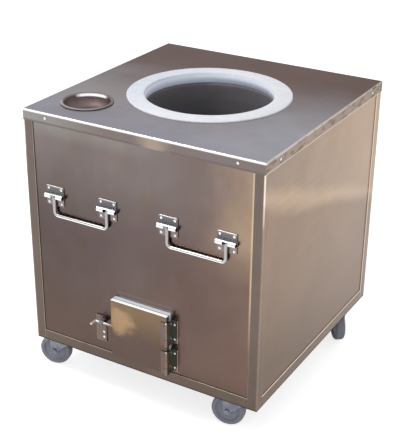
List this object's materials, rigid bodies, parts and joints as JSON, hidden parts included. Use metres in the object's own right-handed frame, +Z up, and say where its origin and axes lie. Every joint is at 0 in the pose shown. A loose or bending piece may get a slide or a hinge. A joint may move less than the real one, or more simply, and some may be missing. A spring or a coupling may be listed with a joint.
{
  "type": "clay tandoor oven",
  "caption": "Square steel-clad tandoor on swivel casters: a clay pot in insulation, white mouth ring, water cup, drop handles, and a hinged fire door with a sliding bolt.",
  "frame": {"origin": "on the floor, at the centre of the footprint's bounding box", "axes": "+Z up along the pot's axis, -Y towards the fire door, +X to the right as seen from the front"},
  "size_m": [0.7914, 0.809, 0.8626],
  "materials": {
    "brushed_steel": "brushed stainless sheet",
    "bright_steel": "polished steel",
    "zinc_plate": "zinc plated steel",
    "dark_steel": "dull mild steel",
    "cast_iron": "rough cast",
    "refractory": "smooth white castable refractory",
    "clay": "fired clay, unglazed",
    "insulation": "packed mineral wool",
    "fire_brick": "fire brick",
    "wheel_rubber": "blue grey moulded rubber"
  },
  "bodies": {
    "housing": {"base_plate": "dark_steel", "post_front_left": "brushed_steel", "post_front_right": "brushed_steel", "post_back_right": "brushed_steel", "post_back_left": "brushed_steel", "bottom_rail_front": "brushed_steel", "bottom_rail_right": "brushed_steel", "bottom_rail_back": "brushed_steel", "bottom_rail_left": "brushed_steel", "top_rail_front": "dark_steel", "top_rail_right": "dark_steel", "top_rail_back": "dark_steel", "top_rail_left": "dark_steel", "panel_front": "brushed_steel", "panel_right": "brushed_steel", "panel_back": "brushed_steel", "panel_left": "brushed_steel", "lid": "brushed_steel", "mouth_ring": "refractory", "clay_pot": "clay", "insulation_fill": "insulation", "hearth_slab": "fire_brick", "ash_duct": "dark_steel", "door_surround": "bright_steel", "latch_plate": "zinc_plate", "hinge_upper_frame_leaf": "zinc_plate", "hinge_upper_pin": "bright_steel", "hinge_lower_frame_leaf": "zinc_plate", "hinge_lower_pin": "bright_steel", "handle_front_left_bracket_a": "bright_steel", "handle_front_left_bracket_b": "bright_steel", "handle_front_right_bracket_a": "bright_steel", "handle_front_right_bracket_b": "bright_steel", "handle_back_left_bracket_a": "bright_steel", "handle_back_left_bracket_b": "bright_steel", "handle_back_right_bracket_a": "bright_steel", "handle_back_right_bracket_b": "bright_steel", "caster_front_left_plate": "zinc_plate", "caster_front_right_plate": "zinc_plate", "caster_back_right_plate": "zinc_plate", "caster_back_left_plate": "zinc_plate"},
    "door": {"fire_door": "brushed_steel", "hinge_upper_door_leaf": "zinc_plate", "hinge_lower_door_leaf": "zinc_plate"},
    "latch_bolt": {"latch_bolt": "bright_steel"},
    "fire_grate": {"fire_grate": "cast_iron"},
    "water_cup": {"water_cup": "bright_steel"},
    "handle_front_left_bail": {"handle_front_left_bail": "bright_steel"},
    "handle_front_right_bail": {"handle_front_right_bail": "bright_steel"},
    "handle_back_left_bail": {"handle_back_left_bail": "bright_steel"},
    "handle_back_right_bail": {"handle_back_right_bail": "bright_steel"},
    "caster_front_left_fork": {"caster_front_left_fork": "zinc_plate"},
    "caster_front_left_wheel": {"caster_front_left_wheel": "wheel_rubber"},
    "caster_front_right_fork": {"caster_front_right_fork": "zinc_plate"},
    "caster_front_right_wheel": {"caster_front_right_wheel": "wheel_rubber"},
    "caster_back_right_fork": {"caster_back_right_fork": "zinc_plate"},
    "caster_back_right_wheel": {"caster_back_right_wheel": "wheel_rubber"},
    "caster_back_left_fork": {"caster_back_left_fork": "zinc_plate"},
    "caster_back_left_wheel": {"caster_back_left_wheel": "wheel_rubber"}
  },
  "joints": [
    {"name": "door_hinge", "type": "hinge", "parent": "housing", "child": "door", "pos_m": [0.11666, -0.39435, 0.2511], "axis": [0, 0, 1], "range_deg": [0, 110]},
    {"name": "latch_slide", "type": "slide", "parent": "housing", "child": "latch_bolt", "axis": [1, 0, 0], "range_m": [0, 0.01]},
    {"name": "handle_front_left_swing", "type": "hinge", "parent": "housing", "child": "handle_front_left_bail", "pos_m": [-0.17934, -0.37245, 0.6131], "axis": [-1, 0, 0], "range_deg": [0, 90]},
    {"name": "handle_front_right_swing", "type": "hinge", "parent": "housing", "child": "handle_front_right_bail", "pos_m": [0.19766, -0.37245, 0.6131], "axis": [-1, 0, 0], "range_deg": [0, 90]},
    {"name": "handle_back_left_swing", "type": "hinge", "parent": "housing", "child": "handle_back_left_bail", "pos_m": [-0.17934, 0.39675, 0.6131], "axis": [1, 0, 0], "range_deg": [0, 90]},
    {"name": "handle_back_right_swing", "type": "hinge", "parent": "housing", "child": "handle_back_right_bail", "pos_m": [0.19766, 0.39675, 0.6131], "axis": [1, 0, 0], "range_deg": [0, 90]},
    {"name": "caster_front_left_swivel", "type": "hinge", "parent": "housing", "child": "caster_front_left_fork", "pos_m": [-0.29634, -0.29685, 0.105], "axis": [0, 0, 1], "continuous": true},
    {"name": "caster_front_left_roll", "type": "hinge", "parent": "caster_front_left_fork", "child": "caster_front_left_wheel", "pos_m": [-0.34485, -0.30895, 0.05], "axis": [0.2419, -0.9703, 0], "continuous": true},
    {"name": "caster_front_right_swivel", "type": "hinge", "parent": "housing", "child": "caster_front_right_fork", "pos_m": [0.32166, -0.29685, 0.105], "axis": [0, 0, 1], "continuous": true},
    {"name": "caster_front_right_roll", "type": "hinge", "parent": "caster_front_right_fork", "child": "caster_front_right_wheel", "pos_m": [0.27242, -0.30553, 0.05], "axis": [0.1736, -0.9848, 0], "continuous": true},
    {"name": "caster_back_right_swivel", "type": "hinge", "parent": "housing", "child": "caster_back_right_fork", "pos_m": [0.32166, 0.32115, 0.105], "axis": [0, 0, 1], "continuous": true},
    {"name": "caster_back_right_roll", "type": "hinge", "parent": "caster_back_right_fork", "child": "caster_back_right_wheel", "pos_m": [0.35245, 0.28175, 0.05], "axis": [0.788, 0.6157, 0], "continuous": true},
    {"name": "caster_back_left_swivel", "type": "hinge", "parent": "housing", "child": "caster_back_left_fork", "pos_m": [-0.29634, 0.32115, 0.105], "axis": [0, 0, 1], "continuous": true},
    {"name": "caster_back_left_roll", "type": "hinge", "parent": "caster_back_left_fork", "child": "caster_back_left_wheel", "pos_m": [-0.33964, 0.34615, 0.05], "axis": [-0.5, -0.866, 0], "continuous": true},
    {"name": "grate_lift", "type": "slide", "parent": "housing", "child": "fire_grate", "axis": [0, 0, 1], "range_m": [0, 0.72]},
    {"name": "cup_lift", "type": "slide", "parent": "housing", "child": "water_cup", "axis": [0, 0, 1], "range_m": [0, 0.06]}
  ]
}
